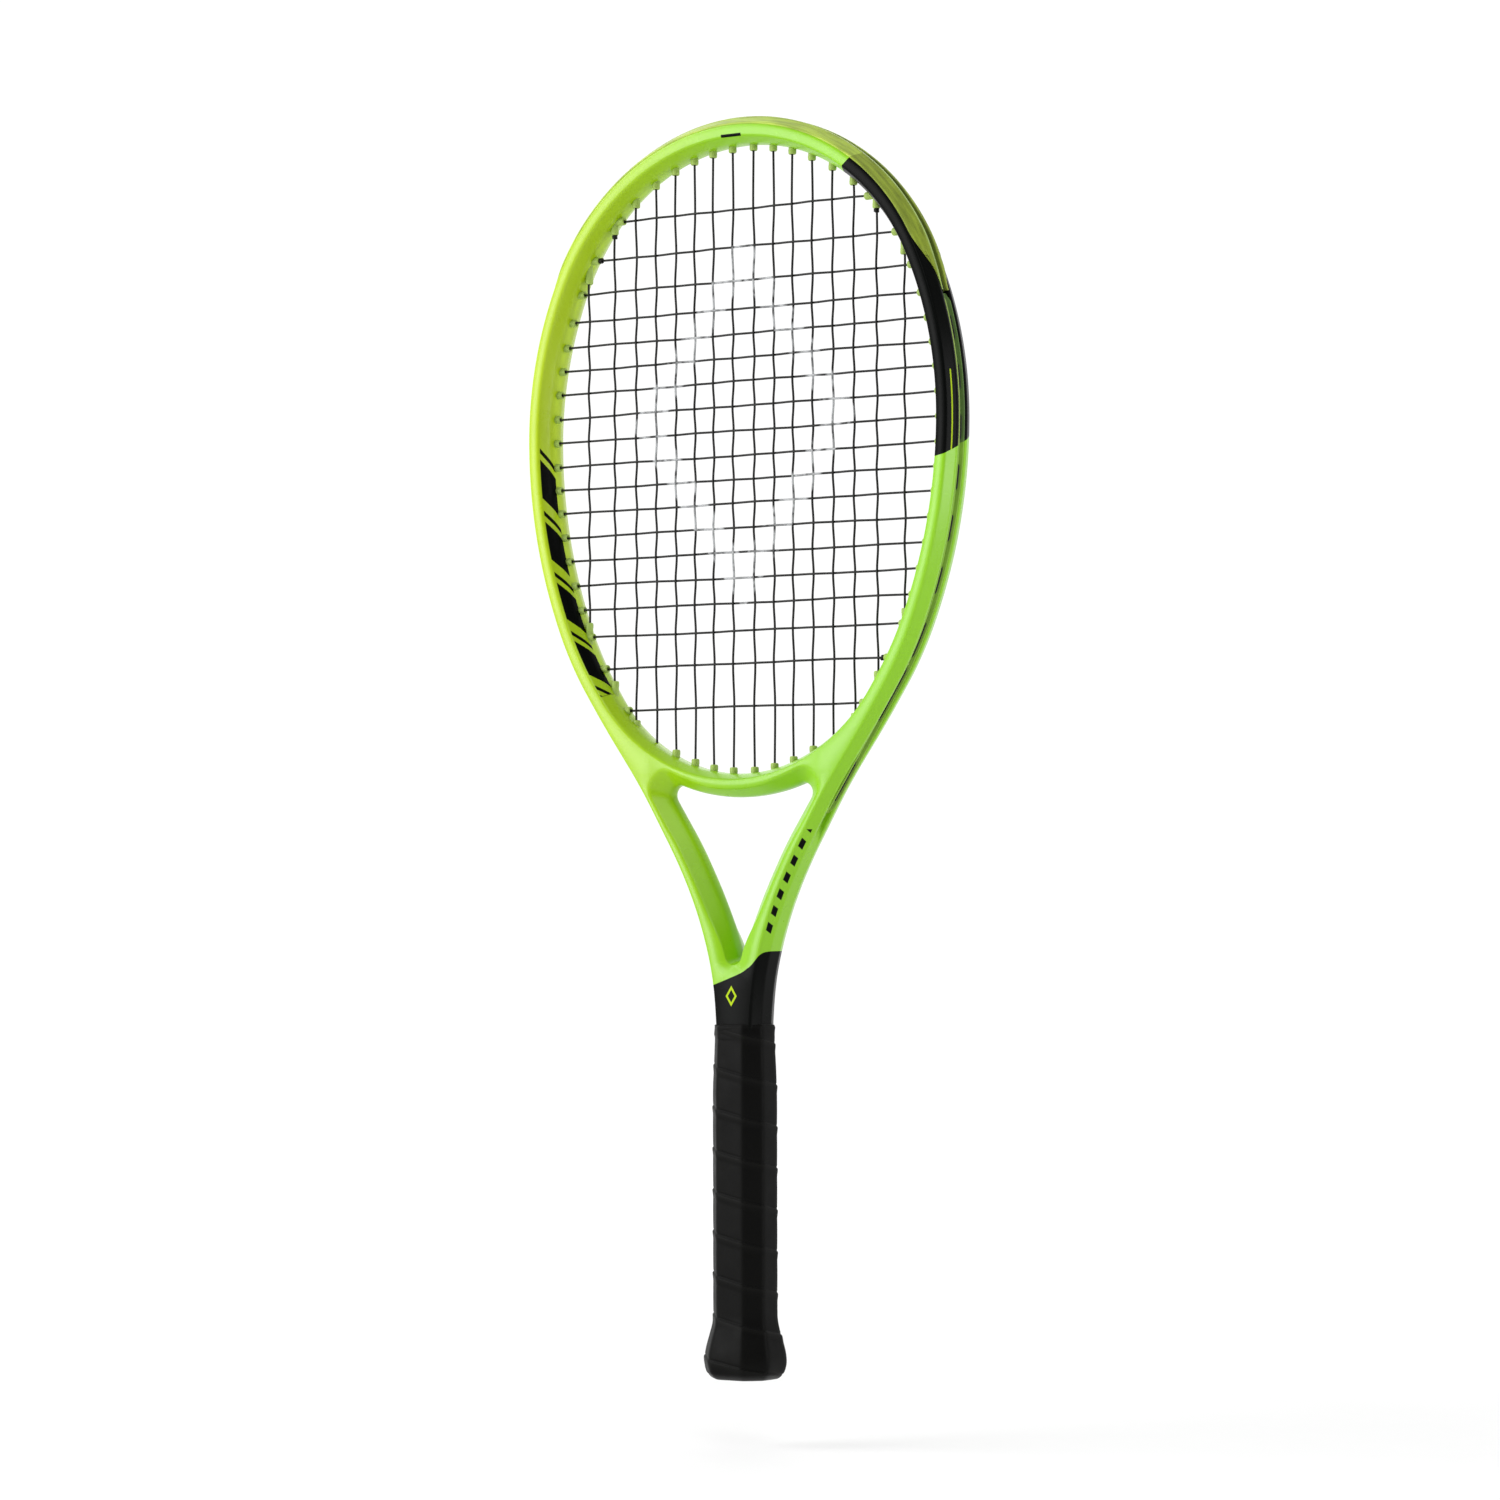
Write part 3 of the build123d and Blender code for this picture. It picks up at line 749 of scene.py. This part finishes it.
def barrel(surface, start, end):
    """A grommet barrel with a rounded tip and an open bore, from inside the groove to its tip."""
    axis = Vector(end) - Vector(start)
    size = axis.length
    axis.normalize()
    side = Vector((0, 1, 0))
    other = axis.cross(side)
    profile = [(1.00, 0.0), (1.80, 0.0), (2.05, size - 3.2), (2.20, size - 2.4), (2.18, size - 0.8),
               (2.02, size - 0.25), (1.72, size), (1.35, size - 0.1), (1.05, size - 0.5)]
    rings = []
    for radius, reach in profile:
        rings.append(round_ring(surface, Vector(start) + axis * reach, radius, side, other, 20))
    surface.loft(rings + rings[:1])


def high_distance(x, out):
    """Where a main string meets the top of the hoop."""
    return distance_where(lambda d: frame_point(d, out)[0] > x, 0, widest)


def low_distance(x, out):
    """Where an outer main string meets the lower hoop."""
    return distance_where(lambda d: frame_point(d, out)[0] < x, widest, straight_end)


def side_distance(z, out=0.0):
    """Where the frame comes down to a height."""
    return distance_where(lambda d: frame_point(d, out)[1] < z, 0, straight_end)


def main_top(x, out):
    return frame_point(high_distance(x, out), out)[1]


def main_bottom(x, index, out):
    if index < bridge_mains:
        return bridge_centre_z - math.sqrt((bridge_radius + out) ** 2 - x ** 2)
    return frame_point(low_distance(x, out), out)[1]


def cross_end(z, out):
    return frame_point(side_distance(z, out), out)[0]


BARREL_BASE, BARREL_TIP = 3.6, -9.8
bumper_end_z, strip_top_z, strip_end_z = 579.0, 578.0, 307.0
barrel_sets = {"bumper": [], "left": [], "right": [], "throat": []}
for number, x in enumerate(main_x):
    for side in (-1, 1):
        top = [(side * x, 0, main_top(x, out)) for out in (BARREL_BASE, BARREL_TIP)]
        low = [(side * x, 0, main_bottom(x, number, out)) for out in (BARREL_BASE, BARREL_TIP)]
        barrel_sets["bumper"].append(top)
        if number < bridge_mains:
            barrel_sets["throat"].append(low)
        else:
            barrel_sets["left" if side < 0 else "right"].append(low)
for z in cross_z:
    for side in (-1, 1):
        place = [(side * cross_end(z, out), 0, z) for out in (BARREL_BASE, BARREL_TIP)]
        home = "bumper" if z > bumper_end_z else ("left" if side < 0 else "right")
        barrel_sets[home].append(place)


def build_strip(name, section, stations, home, material, node):
    surface = Surface()
    sweep(surface, section, stations)
    swept = len(surface.points)
    for start, end in barrel_sets[home]:
        barrel(surface, start, end)
    marks = [0.0] * swept + [1.0] * (len(surface.points) - swept)
    slot = "guard" if material is guard else "grommet"
    surface.finish(name, material, slot, [node], barrel=marks)


def build_guards():
    bumper_end, strip_top, strip_end = [side_distance(z) for z in (bumper_end_z, strip_top_z, strip_end_z)]
    build_strip("crown_bumper", bumper_section, frame_stations(-bumper_end, bumper_end), "bumper", guard,
                "bumper_guard")
    for side, start, end in (("right", strip_top, strip_end), ("left", -strip_end, -strip_top)):
        build_strip("side_grommets_" + side, strip_section, frame_stations(start, end), side, grommet,
                    "grommet_strip_" + side)
    throat = []
    half_turn = 25.0
    for angle in spread(-half_turn, half_turn, 1.2):
        turn = math.radians(angle)
        outward = (math.sin(turn), -math.cos(turn))
        throat.append((bridge_point(angle), outward, 2.0 * (half_turn - abs(angle))))
    build_strip("throat_grommets", strip_section, throat, "throat", grommet, "grommet_strip_throat")


# Strings: two woven lengths with their loops in the groove
def joined(segments, trim=1.5):
    """One path through the segments, with each corner rounded over the trim length."""
    path = [Vector(point) for point in segments[0]]
    for segment in segments[1:]:
        points = [Vector(point) for point in segment]
        corner = (path[-1] + points[0]) / 2
        while len(path) > 2 and (path[-1] - corner).length < trim:
            path.pop()
        while len(points) > 2 and (points[0] - corner).length < trim:
            points.pop(0)
        start = corner + (path[-1] - corner).normalized() * trim
        end = corner + (points[0] - corner).normalized() * trim
        for share in (0.0, 0.2, 0.4, 0.6, 0.8, 1.0):
            path.append(start * (1 - share) ** 2 + corner * 2 * share * (1 - share) + end * share ** 2)
        path += points
    return path


def woven(ends, crossings, sign, place):
    """A string between two end values, over and under at each crossing, in small cosine waves."""
    lead = math.copysign(9.0, ends[1] - ends[0])
    stops = [(ends[0], 0.0), (ends[0] + lead, 0.0)]
    for index, value in enumerate(crossings):
        stops.append((value, weave * sign * (-1) ** index))
    stops += [(ends[1] - lead, 0.0), (ends[1], 0.0)]
    points = []
    for (first, low), (last, high) in zip(stops, stops[1:]):
        for step in range(5):
            share = step / 5
            ease = (1 - math.cos(math.pi * share)) / 2
            value = first + (last - first) * share
            points.append(place(value, low + (high - low) * ease))
    points.append(place(ends[1], 0.0))
    return points


def sway(number, value, size):
    """The slight wander of a strung string, from crossing to crossing."""
    return size * math.sin(2.4 * number + value / 23.0) * math.sin(1.3 * number + value / 61.0)


def frame_loop(start, end):
    """Points along the outer groove between two distances."""
    places = [frame_point(distance, loop_out) for distance in spread(start, end, 2.0)]
    return [(x, 0.0, z) for x, z, _ in places]


def finish_string(name, segments, node):
    surface = Surface()
    tube(surface, joined(segments), string_radius)
    surface.finish(name, string, "string", [node])


def build_mains():
    right = [(x, number) for number, x in enumerate(main_x)]
    order = [(-x, number) for x, number in reversed(right)] + right
    segments = []
    for count, (x, number) in enumerate(order):
        high = main_top(abs(x), loop_out)
        low = main_bottom(abs(x), number, loop_out)
        crossed = [z for z in cross_z if main_bottom(abs(x), number, -7) < z < main_top(abs(x), -7)]
        first = cross_z.index(crossed[0])
        sign = 1 if (count + first) % 2 else -1
        run = woven((high, low), crossed, sign, lambda z, y: (x + sway(count, z, 0.07), y, z))
        top_at = math.copysign(high_distance(abs(x), loop_out), x)
        if count == 0:
            segments.append(frame_loop(top_at - 9.0, top_at))
        if count % 2:
            run = run[::-1]
        segments.append(run)
        if count == len(order) - 1:
            segments.append(frame_loop(top_at, top_at + 9.0))
            break
        next_x, _ = order[count + 1]
        if count % 2:
            next_at = math.copysign(high_distance(abs(next_x), loop_out), next_x)
            segments.append(frame_loop(top_at, next_at))
        elif number < bridge_mains:
            reach = bridge_radius + loop_out
            angles = [math.degrees(math.asin(value / reach)) for value in (x, next_x)]
            points = [bridge_point(angle, loop_out) for angle in spread(angles[0], angles[1], 1.0)]
            segments.append([(px, 0.0, pz) for px, pz in points])
        else:
            here, there = [math.copysign(low_distance(abs(value), loop_out), value) for value in (x, next_x)]
            segments.append(frame_loop(here, there))
    finish_string("woven_mains", segments, "main_strings")


def build_crosses():
    segments = []
    for count, z in enumerate(cross_z):
        at = side_distance(z, loop_out)
        half = cross_end(z, loop_out)
        columns = sorted([-x for x in main_x] + main_x)
        crossed = [x for x in columns if abs(x) < cross_end(z, -7) - 2
                   and main_top(abs(x), -7) > z > main_bottom(abs(x), main_x.index(abs(x)), -7)]
        sign = -1 if (columns.index(crossed[0]) + count) % 2 else 1
        run = woven((-half, half), crossed, sign, lambda x, y: (x, y, z + sway(count + 5, x, 0.34)))
        side = 1
        if count % 2:
            run = run[::-1]
            side = -1
        if count == 0:
            segments.append(frame_loop(-at + 9.0, -at))
        segments.append(run)
        if count == len(cross_z) - 1:
            segments.append(frame_loop(at, at + 9.0))
        else:
            below = side_distance(cross_z[count + 1], loop_out)
            segments.append(frame_loop(side * at, side * below))
    finish_string("woven_crosses", segments, "cross_strings")


def build_knots():
    """Each tie-off knot is a tight coil of string, two and a half turns round."""
    surface = Surface()
    places = []
    for side in (-1, 1):
        places.append((Vector((side * main_x[-2], 0, main_top(main_x[-2], BARREL_TIP))), Vector((0, 0, -1))))
    for side, z in ((-1, cross_z[1]), (1, cross_z[-2])):
        places.append((Vector((side * cross_end(z, BARREL_TIP), 0, z)), Vector((-side, 0, 0))))
    for start, axis in places:
        front = Vector((0, 1, 0))
        across = axis.cross(front)
        steps = 64
        path = []
        for step in range(steps + 1):
            turn = 5.0 * math.pi * step / steps
            path.append(start + axis * (0.2 + 1.9 * step / steps)
                        + 1.12 * (math.cos(turn) * front + math.sin(turn) * across))
        knot_tube(surface, path, 0.48)
    surface.finish("tie_off_knots", string, "string", ["string_knots"])


def knot_tube(surface, path, radius, sides=8):
    """A tube along a coil, whose section is carried on from ring to ring."""
    rings = []
    side = None
    for index, point in enumerate(path):
        along = (path[min(index + 1, len(path) - 1)] - path[max(index - 1, 0)]).normalized()
        if side is None:
            side = along.orthogonal().normalized()
        side = (side - along * side.dot(along)).normalized()
        rings.append(round_ring(surface, point, radius, side, along.cross(side), sides))
    surface.loft(rings, capped=True)


# Handle
ROUND = 34


def handle_radius(turn, extra, bevel=ROUND):
    """Distance from the axis to the wrapped octagon at an angle, with softened corners."""
    half_x = (grip_width + extra) / 2
    half_y = (grip_depth + extra) / 2
    diagonal = (half_x + half_y - facet_cut * (1 + extra / grip_width)) / math.sqrt(2)
    total = 0.0
    for number in range(8):
        facing = number * math.pi / 4
        flat = (half_x, diagonal, half_y, diagonal)[number % 4]
        lean = math.cos(turn - facing)
        if lean > 0:
            total += (lean / flat) ** bevel
    return total ** (-1 / bevel)


def flare_at(z):
    """How much wider the butt is than the handle at a height: a rounded foot and a long soft rise."""
    if z > flare_z:
        return flare_most * (1 - smooth((z - flare_z) / (flare_top_z - flare_z)))
    return flare_foot + (flare_most - flare_foot) * math.sqrt(1 - ((flare_z - z) / flare_z) ** 2)


def top_taper(z):
    """How much slimmer the handle gets over its last few centimetres below the neck."""
    return 2.4 * smooth((z - 150.0) / 42.0)


WRAP_PITCH = 22.4
WRAP_LIP = 0.45


def wrap_phase(turn, z):
    """0 at a seam, rising to 1 at the next one up the handle; seams fall to the right at the front."""
    return (z / WRAP_PITCH + (turn + math.pi / 2) / (2 * math.pi) + 0.636) % 1.0


def build_sleeve(name, heights, shape, inside_share, inside_z, material, slot, node):
    """A hollow skin round the handle: shape gives its reach and how raised it is, at a turn and a height."""
    surface = Surface()
    lips = []
    rings = []
    for z in heights:
        points = []
        for turn in circle(144):
            reach, lip = shape(turn, z)
            points.append((reach * math.cos(turn), reach * math.sin(turn), z))
            lips.append(lip)
        rings.append(surface.ring(points))
    surface.loft(rings)
    inside = []
    for ring, z in zip((rings[0], rings[-1]), inside_z):
        wall = [surface.points[index] for index in ring]
        inside.append(surface.ring([(x * inside_share, y * inside_share, z) for x, y, _ in wall]))
        lips += [0.0] * len(ring)
        surface.join(ring, inside[-1])
    surface.join(inside[0], inside[1])
    surface.finish(name, material, slot, [node], lip=lips)


def build_grip():
    """The spiral wrap: each turn overlaps the last one with a raised lip above a fine seam."""
    bottom, top = 2.2, grip_top_z - 0.6

    def shape(turn, z):
        phase = wrap_phase(turn, z)
        rise = 1 - smooth(phase / 0.045) if phase < 0.045 else smooth((phase - 0.80) / 0.2)
        dip = 0.28 * math.exp(-((phase - 0.05) / 0.018) ** 2)
        puff = 0.12 * math.sin(math.pi * phase)
        edge = 0.5 * (1 - smooth((z - bottom) / 1.2))
        reach = handle_radius(turn, flare_at(z) + 0.3 - top_taper(z)) + WRAP_LIP * rise - dip + puff - edge
        # The second value marks the raised lip, where the skin's colour is lighter: wear and a painted sheen
        return reach, smooth((phase - 0.86) / 0.14) if phase > 0.05 else 0.0

    build_sleeve("wrapped_grip", spread(bottom, top, 0.5), shape, 0.90, (bottom + 0.2, top),
                 grip_material, "grip", "grip_wrap")


def build_tape():
    """The finishing tape: a stretched band whose last turn crosses the others at a slant."""
    def shape(turn, z):
        share = (z - tape_bottom_z) / (grip_top_z - tape_bottom_z)
        slant = share - 0.5 - 0.42 * math.sin(turn + 2.2)
        fold = 0.30 * (0.5 + 0.5 * math.tanh(slant * 14))
        wrinkle = 0.10 * math.sin(3 * turn + 9 * share) * math.sin(math.pi * share)
        edge = 0.55 * (1 - math.sin(math.pi * min(max(share, 0.04), 0.96)) ** 0.35)
        close = 1.5 * smooth((share - 0.82) / 0.18)
        reach = handle_radius(turn, 0.9 - top_taper(z), 26) + fold + wrinkle - edge - close
        # The second value lightens the tape's colour along the slanted edge: a painted sheen
        return reach, 0.8 * math.exp(-(slant * 9) ** 2)

    build_sleeve("finishing_band", spread(tape_bottom_z, grip_top_z, 0.3), shape, 0.93,
                 (tape_bottom_z + 0.1, grip_top_z - 0.1), tape_material, "tape", "finishing_tape")


def build_cap():
    """The butt cap's end: a rounded rim, a flat face and the edge of the trap door's opening."""
    surface = Surface()
    rings = []
    door_half_x, door_half_y, door_corner = 10.0, 7.5, 24

    def opening(turn, grow):
        lean_x, lean_y = abs(math.cos(turn)), abs(math.sin(turn))
        return ((lean_x / (door_half_x + grow)) ** door_corner
                + (lean_y / (door_half_y + grow)) ** door_corner) ** (-1 / door_corner)

    turns = circle(144)
    for z, inset in [(4.2, 1.6), (3.0, 0.5), (2.4, 0.1), (1.9, 0.0), (1.4, 0.0), (1.0, 0.0), (0.65, 0.0),
                     (0.35, 0.0), (0.15, 0.0), (0.04, 0.0), (0.0, 0.4)]:
        rings.append([(handle_radius(turn, flare_at(z)) - inset, turn, z) for turn in turns])
    outer = rings[-1]
    for share in (0.35, 0.7):
        rings.append([(r + (opening(t, 0.4) - r) * share, t, 0.0) for r, t, _ in outer])
    for grow, z in ((0.4, 0.0), (0.1, 0.12), (0.0, 0.4), (0.0, 4.2)):
        rings.append([(opening(turn, grow), turn, z) for turn in turns])
    made = [surface.ring([(r * math.cos(t), r * math.sin(t), z) for r, t, z in ring]) for ring in rings]
    surface.loft(made + made[:1])
    surface.finish("butt_end", cap_material, "cap_black", ["butt_cap"])


def dress_cad_nodes():
    """Materials for the design's own pieces that stay."""
    for node, material in (("handle_leg_left", carbon_material), ("handle_leg_right", carbon_material),
                           ("handle_core", foam), ("butt_cap_staples", steel), ("trap_door", cap_material),
                           ("trap_door_badge", badge_material)):
        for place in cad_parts[node].material_slots:
            place.material = material


# Camera, lights and floor
def build_camera():
    azimuth, lift, roll = math.radians(34.0), math.radians(2.24), 0.0020
    distance, shift, height = 2585.0, -3.1, 238.7
    ahead = Vector((-math.cos(lift) * math.sin(azimuth), math.cos(lift) * math.cos(azimuth), math.sin(lift)))
    right = Vector((math.cos(azimuth), math.sin(azimuth), 0))
    up = right.cross(ahead)
    turned_right = right * math.cos(roll) - up * math.sin(roll)
    turned_up = up * math.cos(roll) + right * math.sin(roll)
    back = Vector((math.sin(azimuth), -math.cos(azimuth), 0))
    place = (back * distance - right * shift + Vector((0, 0, height))) * MM
    lens = bpy.data.cameras.new("camera")
    lens.sensor_width = 36.0
    lens.lens = 114.35
    lens.clip_end = 50.0
    camera = add_object("camera", lens)
    axes = Matrix((turned_right, turned_up, -ahead)).transposed()
    camera.matrix_world = Matrix.Translation(place) @ axes.to_4x4()
    bpy.context.scene.camera = camera


def area_light(name, place, size, power):
    """A soft box that faces the middle of the racket."""
    data = bpy.data.lights.new(name, "AREA")
    data.shape = "RECTANGLE"
    data.size, data.size_y = size
    data.energy = power
    light = add_object(name, data)
    light.location = place
    light.rotation_euler = (Vector((0, 0, 0.4)) - Vector(place)).to_track_quat("-Z", "Y").to_euler()


def build_stage():
    """A pale paper floor, five soft lamps and a pale room, brighter behind and to the left of the racket."""
    world = bpy.data.worlds.new("studio")
    bpy.context.scene.world = world
    world.cycles.sampling_method = "NONE"
    world.use_nodes = True
    nodes, links = world.node_tree.nodes, world.node_tree.links
    place = nodes.new("ShaderNodeTexCoord")
    facing = nodes.new("ShaderNodeVectorMath")
    facing.operation = "DOT_PRODUCT"
    facing.inputs[1].default_value = (-0.83, 0.56, 0.0)
    share = nodes.new("ShaderNodeMapRange")
    share.interpolation_type = "SMOOTHSTEP"
    for key, value in (("From Min", -1.0), ("From Max", 0.75), ("To Min", 0.14), ("To Max", 1.06)):
        share.inputs[key].default_value = value
    links.new(place.outputs["Generated"], facing.inputs[0])
    links.new(facing.outputs["Value"], share.inputs["Value"])
    links.new(share.outputs["Result"], nodes["Background"].inputs["Strength"])
    nodes["Background"].inputs["Color"].default_value = (1.0, 1.0, 1.0, 1)
    mesh = bpy.data.meshes.new("floor")
    reach = 30.0
    corners = [(-reach, -reach, 0), (reach, -reach, 0), (reach, reach, 0), (-reach, reach, 0)]
    mesh.from_pydata(corners, [], [(0, 1, 2, 3)])
    floor = add_object("floor", mesh)
    floor.location.z = -0.036
    shader = Shader("floor_paper", Specular_IOR_Level=0.1, Emission_Color=(1, 1, 1, 1))
    shader.colour(shader.vary((0.56, 0.56, 0.56, 1), 0.01, shader.noise(30.0, 3.0)))
    shader.roughness(0.7, 0.8, shader.noise(90.0, 3.0))
    mesh.materials.append(shader.material)
    # The paper's own glow evens it out where the lamps don't reach
    away = shader.plus(shader.times(shader.x, shader.x), shader.times(shader.y, shader.y))
    away = shader.minus(shader.math("SQRT", away), 400.0)
    share = shader.math("DIVIDE", away, 2100.0, clamp=True)
    glow = shader.plus(shader.times(share, 0.27), 0.35)
    shader.link(glow, shader.surface.inputs["Emission Strength"])
    shader.material.cycles.emission_sampling = "NONE"
    area_light("front", (-1.45, -2.15, 0.75), (0.9, 1.5), 32.0)
    area_light("rim", (2.4, 0.5, 0.6), (0.6, 1.6), 18.0)
    area_light("key", (-2.0, -1.3, 2.2), (1.4, 1.4), 30.0)
    area_light("fill", (1.5, -1.5, 2.6), (1.6, 1.6), 22.0)
    area_light("back", (-1.2, 2.0, 1.8), (1.4, 1.4), 6.0)
    bpy.context.scene.view_settings.view_transform = "Standard"


build_camera()
build_stage()
build_frame()
build_guards()
build_mains()
build_crosses()
build_knots()
build_grip()
build_tape()
build_cap()
dress_cad_nodes()
